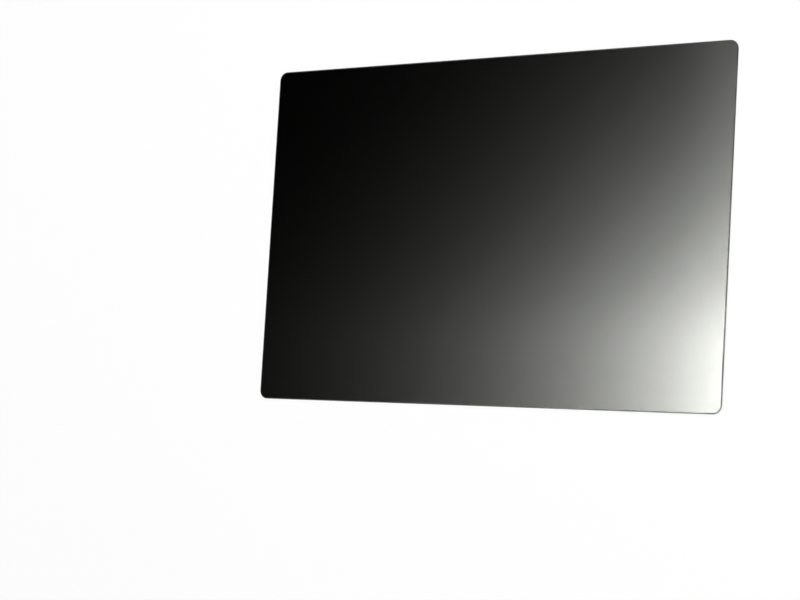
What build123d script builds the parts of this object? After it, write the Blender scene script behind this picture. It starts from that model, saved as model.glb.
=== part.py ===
"""Laptop privacy filter: one thin flat sheet of dark louvre film, die-cut with rounded corners.

The sheet lies flat on its back. The origin is the middle of the back face, +X runs along the sheet's
width, +Y runs up its height, and +Z points out of the viewing side. Units are millimetres.
"""

from build123d import *

import os

# Driving dimensions
WIDTH = 302.5  # long side of the sheet, in the 14.2 inch size
HEIGHT = 196.5  # short side, which stands upright in use
THICKNESS = 0.53  # through the whole film
CORNER_RADIUS = 5.0  # at all four corners of the outline
ROLLED_RIM = 0.12  # rounding that the cutting die presses into the viewing side
BACK_BREAK = 0.04  # bevel left on the back, where the die comes through

# Filter sheet: a rounded rectangle with the film's thickness
with BuildPart() as filter_sheet:
    with BuildSketch(Plane.XY) as outline:
        RectangleRounded(WIDTH, HEIGHT, CORNER_RADIUS)
    extrude(amount=THICKNESS)

    # The die cuts from the viewing side: it rounds the rim there and leaves the back rim crisp
    viewing_face = filter_sheet.faces().sort_by(Axis.Z)[-1]
    fillet(viewing_face.edges(), radius=ROLLED_RIM)
    back_face = filter_sheet.faces().sort_by(Axis.Z)[0]
    chamfer(back_face.edges(), length=BACK_BREAK)

filter_sheet.part.label = "filter_sheet"

os.makedirs("parts", exist_ok=True)
export_step(filter_sheet.part, "parts/filter_sheet.step")
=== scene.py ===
# %% [markdown]
# # A laptop privacy filter
# The object is one thin sheet of louvre film. Straight on it is a smoky window, and from the side it
# turns black, because more than a thousand upright black slats stand inside the clear film like a tiny
# blind. The sheet's outline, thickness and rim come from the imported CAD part, which is never moved or
# changed. This script gives the sheet its film finish, builds the slats inside it, and sets floor, light
# and camera. All lengths and places are in metres, unless a comment says otherwise.

# %% Load the sheet as a fixed frame
import math

import bmesh
import bpy
from mathutils import Matrix, Vector


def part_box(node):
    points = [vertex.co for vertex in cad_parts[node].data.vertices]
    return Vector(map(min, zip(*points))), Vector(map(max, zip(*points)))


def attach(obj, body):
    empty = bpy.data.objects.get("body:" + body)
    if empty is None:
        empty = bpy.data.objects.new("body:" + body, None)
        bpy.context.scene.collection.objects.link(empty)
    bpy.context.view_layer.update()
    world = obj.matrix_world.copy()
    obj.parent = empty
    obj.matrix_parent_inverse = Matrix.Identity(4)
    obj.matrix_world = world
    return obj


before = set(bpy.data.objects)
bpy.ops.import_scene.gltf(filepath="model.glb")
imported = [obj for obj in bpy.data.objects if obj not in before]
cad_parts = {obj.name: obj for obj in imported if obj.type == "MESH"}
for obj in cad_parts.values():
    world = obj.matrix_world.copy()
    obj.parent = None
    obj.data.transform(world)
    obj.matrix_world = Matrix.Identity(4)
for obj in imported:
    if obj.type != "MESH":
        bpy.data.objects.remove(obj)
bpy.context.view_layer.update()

SHEET_NODE = "filter_sheet"
CORNER_RADIUS = 0.005  # the part's own corner, which its box can't tell
MILLIMETRES = 1000.0  # in a metre, for what is printed

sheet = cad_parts[SHEET_NODE]
low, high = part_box(SHEET_NODE)
WIDTH = high.x - low.x
HEIGHT = high.y - low.y
THICKNESS = high.z - low.z
print(f"sheet {WIDTH * MILLIMETRES:.1f} x {HEIGHT * MILLIMETRES:.1f} x {THICKNESS * MILLIMETRES:.2f} mm")

# %% [markdown]
# ## The camera
# A sheet can't stand by itself, so it lies flat and the camera looks down on it. What counts is the
# place of the camera relative to the sheet: off to the right, a little towards the lower edge. A long
# lens keeps the sides nearly parallel. The place could be found by eye, but four straight edges fix it
# well, so these values were fitted to those edges, and the next cell prints where the corners land.

# %% Camera
SENSOR_WIDTH = 36.0  # millimetres, along the image's width
LENS = 96.056  # millimetres
CAMERA_PLACE = Vector((0.63934, -0.13974, 1.00063))
AIM_POINT = Vector((-0.05438, -0.03921, 0.0))
CAMERA_ROLL = math.radians(-3.41)  # about the line of sight

line_of_sight = (AIM_POINT - CAMERA_PLACE).normalized()
sheet_up = Vector((0.0, 1.0, 0.0))
level_up = (sheet_up - line_of_sight * sheet_up.dot(line_of_sight)).normalized()
camera_up = Matrix.Rotation(CAMERA_ROLL, 3, line_of_sight) @ level_up
camera_right = line_of_sight.cross(camera_up)

camera_data = bpy.data.cameras.new("camera")
camera_data.sensor_width = SENSOR_WIDTH
camera_data.lens = LENS
camera = bpy.data.objects.new("camera", camera_data)
camera_axes = Matrix((camera_right, camera_up, -line_of_sight)).transposed().to_4x4()
camera.matrix_world = Matrix.Translation(CAMERA_PLACE) @ camera_axes
bpy.context.scene.collection.objects.link(camera)
bpy.context.scene.camera = camera
print(f"camera {(AIM_POINT - CAMERA_PLACE).length:.3f} m from where it aims")

# %% Where the corners land
IMAGE_WIDTH = 800  # pixels
IMAGE_HEIGHT = 600


def pixel_of(point):
    """Where a point of the scene lands in the image, in pixels from the top left."""
    away = point - CAMERA_PLACE
    scale = LENS / SENSOR_WIDTH * IMAGE_WIDTH / away.dot(line_of_sight)
    return (
        IMAGE_WIDTH / 2 + away.dot(camera_right) * scale,
        IMAGE_HEIGHT / 2 - away.dot(camera_up) * scale,
    )


for name, side_x, side_y in (
    ("top left", -1, 1),
    ("top right", 1, 1),
    ("bottom right", 1, -1),
    ("bottom left", -1, -1),
):
    corner = Vector((side_x * WIDTH / 2, side_y * HEIGHT / 2, 0.0))
    print(name, "corner at pixel (%.1f, %.1f)" % pixel_of(corner))

# %% [markdown]
# ## The louvres
# The slats are what makes the film a privacy filter, so they are real geometry and not a painted
# darkness: light gets through only within about 27 degrees to the left or right of straight on. They
# could be an Array modifier on one slat, but the sheet has round corners, so the slats near both ends
# are shorter. Each is one small box between the film's two faces, and a formula gives its length.

# %% Louvre sizes
SLAT_HEIGHT = 0.000468  # across the film
SLAT_THICKNESS = 0.00002
SLAT_GAP = 0.00015  # clear film between two slats
CLEAR_RIM = 0.00025  # film left between the slats and the cut edge
FILM_IOR = 1.5  # index of refraction: how much the film bends light

slat_pitch = SLAT_THICKNESS + SLAT_GAP
slats_each_side = int((WIDTH / 2 - CLEAR_RIM) / slat_pitch)
cut_off_inside = math.atan(SLAT_GAP / SLAT_HEIGHT)
cut_off_outside = math.asin(FILM_IOR * math.sin(cut_off_inside))
print(f"{2 * slats_each_side + 1} slats, {slat_pitch * MILLIMETRES:.2f} mm apart")
print(f"light passes within {math.degrees(cut_off_outside):.1f} degrees to each side of straight on")


# %% Louvres
def new_piece(name, mesh_builder, material):
    """Makes a mesh object at the origin from a filled bmesh."""
    mesh = bpy.data.meshes.new(name)
    mesh_builder.to_mesh(mesh)
    mesh_builder.free()
    mesh.materials.append(material)
    piece = bpy.data.objects.new(name, mesh)
    bpy.context.scene.collection.objects.link(piece)
    return piece


def slat_length(x):
    """Length of the slat at x, which ends a clear rim inside the outline with its round corners."""
    radius = CORNER_RADIUS - CLEAR_RIM
    past_straight = max(0.0, abs(x) - (WIDTH / 2 - CORNER_RADIUS))
    corner_drop = radius - math.sqrt(radius**2 - past_straight**2)
    return HEIGHT - 2 * (CLEAR_RIM + corner_drop)


def build_louvres(material):
    """All the slats as one piece, each a thin upright box in the middle of the film."""
    slats = bmesh.new()
    for step in range(-slats_each_side, slats_each_side + 1):
        x = step * slat_pitch
        place = Matrix.Translation((x, 0.0, low.z + THICKNESS / 2))
        size = Matrix.Diagonal((SLAT_THICKNESS, slat_length(x), SLAT_HEIGHT, 1.0))
        bmesh.ops.create_cube(slats, size=1.0, matrix=place @ size)
    return new_piece("louvres", slats, material)


middle_length = slat_length(0.0) * MILLIMETRES
end_length = slat_length(slats_each_side * slat_pitch) * MILLIMETRES
print(f"slats {middle_length:.1f} mm long, and {end_length:.1f} mm at the ends of the sheet")

# %% [markdown]
# ## Small helpers for shader nodes
# Every finish below is a handful of nodes. Three helpers keep the cells short: one adds a node and sets
# its sockets, one sets or links a single socket, so that a value that is itself a socket becomes a link,
# and one does a sum with a Math node. They could be written out each time, but then the few numbers that
# make a finish would drown in the wiring.


# %% Node helpers
def set_input(tree, socket, value):
    """Links a socket to another socket, or sets its value."""
    if isinstance(value, bpy.types.NodeSocket):
        tree.links.new(value, socket)
    else:
        socket.default_value = value


def add_node(tree, kind, settings=None, **inputs):
    """Adds a node. Settings are its own properties; inputs name its sockets, with _ for a space."""
    node = tree.nodes.new(kind)
    for name, value in (settings or {}).items():
        setattr(node, name, value)
    for name, value in inputs.items():
        set_input(tree, node.inputs[name.replace("_", " ")], value)
    return node


def math_node(tree, operation, *values):
    """A Math node's result, from sockets or plain numbers."""
    node = tree.nodes.new("ShaderNodeMath")
    node.operation = operation
    for socket, value in zip(node.inputs, values):
        set_input(tree, socket, value)
    return node.outputs[0]


print("node helpers ready")

# %% [markdown]
# ## The black of the louvres
# The slats are clear film filled with soot-black pigment: nearly no light comes back, and what does is
# dull. One plain black would do from afar. A faint drift of tone along the sheet, from a noise texture,
# keeps the slats from being one dead flat colour up close.

# %% Louvre material
LOUVRE_BLACK = (0.0018, 0.0019, 0.0018, 1.0)
LOUVRE_GREY = (0.0032, 0.0034, 0.0031, 1.0)
LOUVRE_ROUGHNESS = 0.75
LOUVRE_GLOSS = 0.0  # none, because the slats lie bedded in the film
PIGMENT_SCALE = 90.0  # noise waves to the metre
PIGMENT_DETAIL = 3.0  # finer layers of noise on top


def new_material(name):
    """An empty node material with its output."""
    material = bpy.data.materials.new(name)
    material.use_nodes = True
    material.node_tree.nodes.clear()
    output = material.node_tree.nodes.new("ShaderNodeOutputMaterial")
    return material, material.node_tree, output


def blend_colours(tree, share, first, second):
    """A colour that goes from first to second as share goes from 0 to 1."""
    mix = add_node(tree, "ShaderNodeMix", {"data_type": "RGBA"})
    sockets = {socket.identifier: socket for socket in mix.inputs}
    set_input(tree, sockets["Factor_Float"], share)
    set_input(tree, sockets["A_Color"], first)
    set_input(tree, sockets["B_Color"], second)
    return next(socket for socket in mix.outputs if socket.identifier == "Result_Color")


louvre_material, tree, output = new_material("louvre_black")
coordinates = add_node(tree, "ShaderNodeTexCoord").outputs["Object"]
pigment = add_node(
    tree, "ShaderNodeTexNoise", Vector=coordinates, Scale=PIGMENT_SCALE, Detail=PIGMENT_DETAIL
)
louvre_shader = add_node(
    tree,
    "ShaderNodeBsdfPrincipled",
    Base_Color=blend_colours(tree, pigment.outputs["Fac"], LOUVRE_BLACK, LOUVRE_GREY),
    Roughness=LOUVRE_ROUGHNESS,
    Specular_IOR_Level=LOUVRE_GLOSS,
)
tree.links.new(louvre_shader.outputs[0], output.inputs["Surface"])

louvres = build_louvres(louvre_material)
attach(louvres, "root")
print("louvres", len(louvres.data.polygons), "faces")

# %% [markdown]
# ## The film
# Film, slats and both faces are one laminate, and what one sees of it is a satin clear plastic with a
# smoky, faintly warm green tint. It could be a dark paint that is partly see-through, but then it would
# be equally dark from everywhere. So it is glass with its own slight roughness, and the slats inside do
# the rest. Along the cut edge a narrow rim is made dull, and it is painted dark as painted shade,
# standing in for the dark line that the cut edge of a clear film shows. It could be a strip of its own
# mesh, but it follows the outline, so it is worked out as the distance to a rounded rectangle, which one
# node group gives.


# %% Distance to the outline
def outline_distance_group():
    """Node group: how far a point lies inside the sheet's outline, in metres."""
    group = bpy.data.node_groups.new("outline_distance", "ShaderNodeTree")
    group.interface.new_socket("Vector", in_out="INPUT", socket_type="NodeSocketVector")
    group.interface.new_socket("Inside", in_out="OUTPUT", socket_type="NodeSocketFloat")
    start = group.nodes.new("NodeGroupInput")
    end = group.nodes.new("NodeGroupOutput")
    axes = add_node(group, "ShaderNodeSeparateXYZ", Vector=start.outputs["Vector"])
    past = []
    for axis, length in (("X", WIDTH), ("Y", HEIGHT)):
        from_middle = math_node(group, "ABSOLUTE", axes.outputs[axis])
        past.append(math_node(group, "SUBTRACT", from_middle, length / 2 - CORNER_RADIUS))
    outside = [math_node(group, "MAXIMUM", one, 0.0) for one in past]
    squares = [math_node(group, "MULTIPLY", one, one) for one in outside]
    round_part = math_node(group, "SQRT", math_node(group, "ADD", *squares))
    straight_part = math_node(group, "MINIMUM", math_node(group, "MAXIMUM", *past), 0.0)
    reach = math_node(group, "ADD", round_part, straight_part)
    inside = math_node(group, "SUBTRACT", CORNER_RADIUS, reach)
    group.links.new(inside, end.inputs["Inside"])
    return group


outline_distance = outline_distance_group()
print("outline group has", len(outline_distance.nodes), "nodes")

# %% Film material
FILM_TINT = (0.81, 0.82, 0.79, 1.0)  # what the clear film lets through
FILM_SHEEN = (0.985, 1.0, 0.94, 1.0)  # tint of what its face mirrors
FILM_CLEARNESS = 1.0  # glass all through
FILM_ROUGHNESS = (0.085, 0.095)  # the satin finish drifts a little over the sheet
HAZE_SCALE = 18.0  # noise waves to the metre, for that drift
HAZE_DETAIL = 4.0
# The cut rim is painted shade: a dark band along the outline that stands in for the cut edge's dark
# line.
CUT_RIM = (0.0005, 0.0008)  # dark up to here from the edge, and clear film from there
CUT_RIM_PAINTED_SHADE = (0.004, 0.004, 0.004, 1.0)
CUT_RIM_ROUGHNESS = 0.32
GRAIN_SCALE = 2600.0  # noise waves to the metre, for the satin's fine grain
GRAIN_DETAIL = 1.0
GRAIN_HEIGHT = 0.0000006


def map_range(tree, value, start, stop, result_start, result_stop, smooth=False):
    """A value carried from one range to another, and held at the ends."""
    node = add_node(
        tree,
        "ShaderNodeMapRange",
        {"interpolation_type": "SMOOTHSTEP" if smooth else "LINEAR"},
        Value=value,
        From_Min=start,
        From_Max=stop,
        To_Min=result_start,
        To_Max=result_stop,
    )
    return node.outputs["Result"]


film_material, tree, output = new_material("louvre_film")
coordinates = add_node(tree, "ShaderNodeTexCoord").outputs["Object"]
edge = add_node(tree, "ShaderNodeGroup", {"node_tree": outline_distance}, Vector=coordinates)
# painted shade along the cut edge: 1 at the edge, fading to 0 inside the rim; it also makes the rim dull
rim_painted_shade = map_range(tree, edge.outputs["Inside"], *CUT_RIM, 1.0, 0.0, smooth=True)
haze = add_node(tree, "ShaderNodeTexNoise", Vector=coordinates, Scale=HAZE_SCALE, Detail=HAZE_DETAIL)
satin = map_range(tree, haze.outputs["Fac"], 0.0, 1.0, *FILM_ROUGHNESS)
grain = add_node(tree, "ShaderNodeTexNoise", Vector=coordinates, Scale=GRAIN_SCALE, Detail=GRAIN_DETAIL)
grain_bump = add_node(tree, "ShaderNodeBump", Height=grain.outputs["Fac"], Distance=GRAIN_HEIGHT)
film_shader = add_node(
    tree,
    "ShaderNodeBsdfPrincipled",
    Base_Color=blend_colours(tree, rim_painted_shade, FILM_TINT, CUT_RIM_PAINTED_SHADE),
    Roughness=map_range(tree, rim_painted_shade, 0.0, 1.0, satin, CUT_RIM_ROUGHNESS),
    Normal=grain_bump.outputs["Normal"],
    Transmission_Weight=FILM_CLEARNESS,
    IOR=FILM_IOR,
    Specular_Tint=FILM_SHEEN,
)
tree.links.new(film_shader.outputs[0], output.inputs["Surface"])
sheet.data.materials.clear()
sheet.data.materials.append(film_material)
print("film finish on", sheet.name)

# %% [markdown]
# ## The floor
# A plain white floor a hair below the sheet. Matt white paint alone would need more light than the film
# should get, so the floor also glows by itself, to the camera, to mirrors and through glass, and stays
# white. Near the sheet a share of it is still ordinary paint, which keeps the sheet's shadow. Far away,
# where the lamps don't reach, it is all glow and runs into the white backdrop.

# %% Floor material
FLOOR_WHITE = (0.92, 0.92, 0.92, 1.0)  # of its paint
GLOW_WHITE = (1.0, 1.0, 1.0, 1.0)
GLOW_STRENGTH = 1.0  # a strength of 1 is white
GLOW_SHARE = (0.85, 1.0)  # near the sheet and far away
GLOW_REACH = (0.25, 1.0)  # from the middle


def seen_directly(tree):
    """1 for rays from the camera, off gloss or through glass, and 0 for the rest."""
    rays = add_node(tree, "ShaderNodeLightPath").outputs
    either = math_node(tree, "MAXIMUM", rays["Is Camera Ray"], rays["Is Glossy Ray"])
    return math_node(tree, "MAXIMUM", either, rays["Is Transmission Ray"])


floor_material, tree, output = new_material("white_floor")
coordinates = add_node(tree, "ShaderNodeTexCoord").outputs["Object"]
from_middle = add_node(tree, "ShaderNodeVectorMath", {"operation": "LENGTH"}, Vector=coordinates)
glow_share = map_range(tree, from_middle.outputs["Value"], *GLOW_REACH, *GLOW_SHARE, smooth=True)
paint = add_node(tree, "ShaderNodeBsdfDiffuse", Color=FLOOR_WHITE)
glow = add_node(tree, "ShaderNodeEmission", Color=GLOW_WHITE, Strength=GLOW_STRENGTH)
floor_mix = add_node(
    tree, "ShaderNodeMixShader", Fac=math_node(tree, "MULTIPLY", seen_directly(tree), glow_share)
)
tree.links.new(paint.outputs[0], floor_mix.inputs[1])
tree.links.new(glow.outputs[0], floor_mix.inputs[2])
tree.links.new(floor_mix.outputs[0], output.inputs["Surface"])
floor_material.cycles.emission_sampling = "NONE"  # rays that meet the floor find its glow
print("floor material", len(tree.nodes), "nodes")

# %% Floor
FLOOR_HALF_SIZE = 8.0
FLOOR_GAP = 0.00015  # below the sheet's back face

floor_place = Matrix.Translation((0.0, 0.0, low.z - FLOOR_GAP))
floor_mesh = bmesh.new()
bmesh.ops.create_grid(floor_mesh, size=FLOOR_HALF_SIZE, matrix=floor_place)
floor = new_piece("floor", floor_mesh, floor_material)
print(f"floor at {(low.z - FLOOR_GAP) * MILLIMETRES:.2f} mm")

# %% [markdown]
# ## The light
# A soft box hangs high on the left, and its cloth grows dim towards the far left and the back, as the
# cloth of a real one does. The satin film mirrors it as a long smooth sheen at the lower right that
# dies away to black. A lamp could show no such fade, so the box is a mesh that glows, and its strength
# falls off with the distance past a bright core. A plain lamp on the right lights the floor from the
# other side, and it isn't mirrored, so that the film shows no round spot from there.

# %% Soft box material
BOX_STRENGTH = 33.0  # of the core's glow
BOX_CORE_X = (-0.79, -0.637)  # left and right end of the bright core
BOX_CORE_Y = (-0.19, 0.101)  # front and back end
FADE_LEFT = 0.164  # length over which the light drops to about a third
FADE_BACK = 0.166
FADE_SHORT = 0.04  # on the other two sides

BOX_SIDES = (
    ("X", BOX_CORE_X[0], -FADE_LEFT),
    ("X", BOX_CORE_X[1], FADE_SHORT),
    ("Y", BOX_CORE_Y[0], -FADE_SHORT),
    ("Y", BOX_CORE_Y[1], FADE_BACK),
)

box_material, tree, output = new_material("soft_box")
coordinates = add_node(tree, "ShaderNodeTexCoord").outputs["Object"]
axes = add_node(tree, "ShaderNodeSeparateXYZ", Vector=coordinates)
fades_past = 0.0
for axis, core_edge, fade_length in BOX_SIDES:
    past = math_node(tree, "SUBTRACT", axes.outputs[axis], core_edge)
    past = math_node(tree, "MAXIMUM", math_node(tree, "DIVIDE", past, fade_length), 0.0)
    fades_past = math_node(tree, "ADD", fades_past, past)
fade = math_node(tree, "EXPONENT", math_node(tree, "MULTIPLY", fades_past, -1.0))
box_light = add_node(
    tree, "ShaderNodeEmission", Strength=math_node(tree, "MULTIPLY", fade, BOX_STRENGTH)
)
tree.links.new(box_light.outputs[0], output.inputs["Surface"])
print("soft box material", len(tree.nodes), "nodes")

# %% Soft box
BOX_HEIGHT = 2.0  # above the sheet's back face
FADES_SHOWN = 6.5  # the cloth ends this many fade lengths past the core

left, right, front, back = [edge + FADES_SHOWN * fade_length for _, edge, fade_length in BOX_SIDES]
box_middle = Vector(((left + right) / 2, (front + back) / 2, BOX_HEIGHT))
box_size = Matrix.Diagonal(((right - left) / 2, (back - front) / 2, 1.0, 1.0))
box_mesh = bmesh.new()
bmesh.ops.create_grid(box_mesh, size=1.0, matrix=Matrix.Translation(box_middle) @ box_size)
bmesh.ops.reverse_faces(box_mesh, faces=box_mesh.faces)
soft_box = new_piece("soft_box", box_mesh, box_material)
soft_box.visible_camera = False
soft_box.visible_shadow = False
print("soft box", [round(side, 2) for side in (right - left, back - front)], "m")

# %% Fill lamp
FILL_PLACE = Vector((0.9, 0.6, 1.3))
FILL_SIZE = 0.8  # across
FILL_POWER = 28.0  # watts

fill_data = bpy.data.lights.new("fill_lamp", "AREA")
fill_data.shape = "DISK"
fill_data.size = FILL_SIZE
fill_data.energy = FILL_POWER
fill_lamp = bpy.data.objects.new("fill_lamp", fill_data)
fill_lamp.location = FILL_PLACE
fill_lamp.rotation_mode = "QUATERNION"
fill_lamp.rotation_quaternion = (-FILL_PLACE).to_track_quat("-Z", "Y")
fill_lamp.visible_glossy = False
fill_lamp.visible_transmission = False
bpy.context.scene.collection.objects.link(fill_lamp)
print("fill lamp at", [round(value, 2) for value in FILL_PLACE])

# %% [markdown]
# ## The room
# The backdrop is white to the camera and through the film. What the film's face mirrors is white where
# it meets the floor and dims upwards to a dark ceiling. It could be one even white all round, but the
# film would mirror that from everywhere and look grey. This way it mirrors only the ceiling from above
# and stays black, and at a low angle it mirrors the backdrop as a soft sheen.

# %% Room
BACKDROP_WHITE = (1.0, 1.0, 1.0, 1.0)
BACKDROP_FADE = 0.16  # sine of the elevation at which the backdrop has dropped to about a third

world = bpy.data.worlds.new("room")
bpy.context.scene.world = world
world.use_nodes = True
world.cycles.sampling_method = "NONE"  # leaves the light samples to the soft box
tree = world.node_tree
tree.nodes.clear()
direction = add_node(tree, "ShaderNodeTexCoord").outputs["Generated"]
rise = add_node(tree, "ShaderNodeSeparateXYZ", Vector=direction).outputs["Z"]
fades_up = math_node(tree, "DIVIDE", math_node(tree, "MAXIMUM", rise, 0.0), -BACKDROP_FADE)
rays = add_node(tree, "ShaderNodeLightPath").outputs
looked_at = math_node(tree, "MAXIMUM", rays["Is Camera Ray"], rays["Is Transmission Ray"])
room_level = math_node(tree, "MAXIMUM", math_node(tree, "EXPONENT", fades_up), looked_at)
room = add_node(tree, "ShaderNodeBackground", Color=BACKDROP_WHITE, Strength=room_level)
world_output = tree.nodes.new("ShaderNodeOutputWorld")
tree.links.new(room.outputs[0], world_output.inputs["Surface"])
print("room light", len(tree.nodes), "nodes")

# %% [markdown]
# ## Finish
# The picture is shown as it is, with no tone curve.

# %% View and finish
bpy.context.scene.view_settings.view_transform = "Standard"
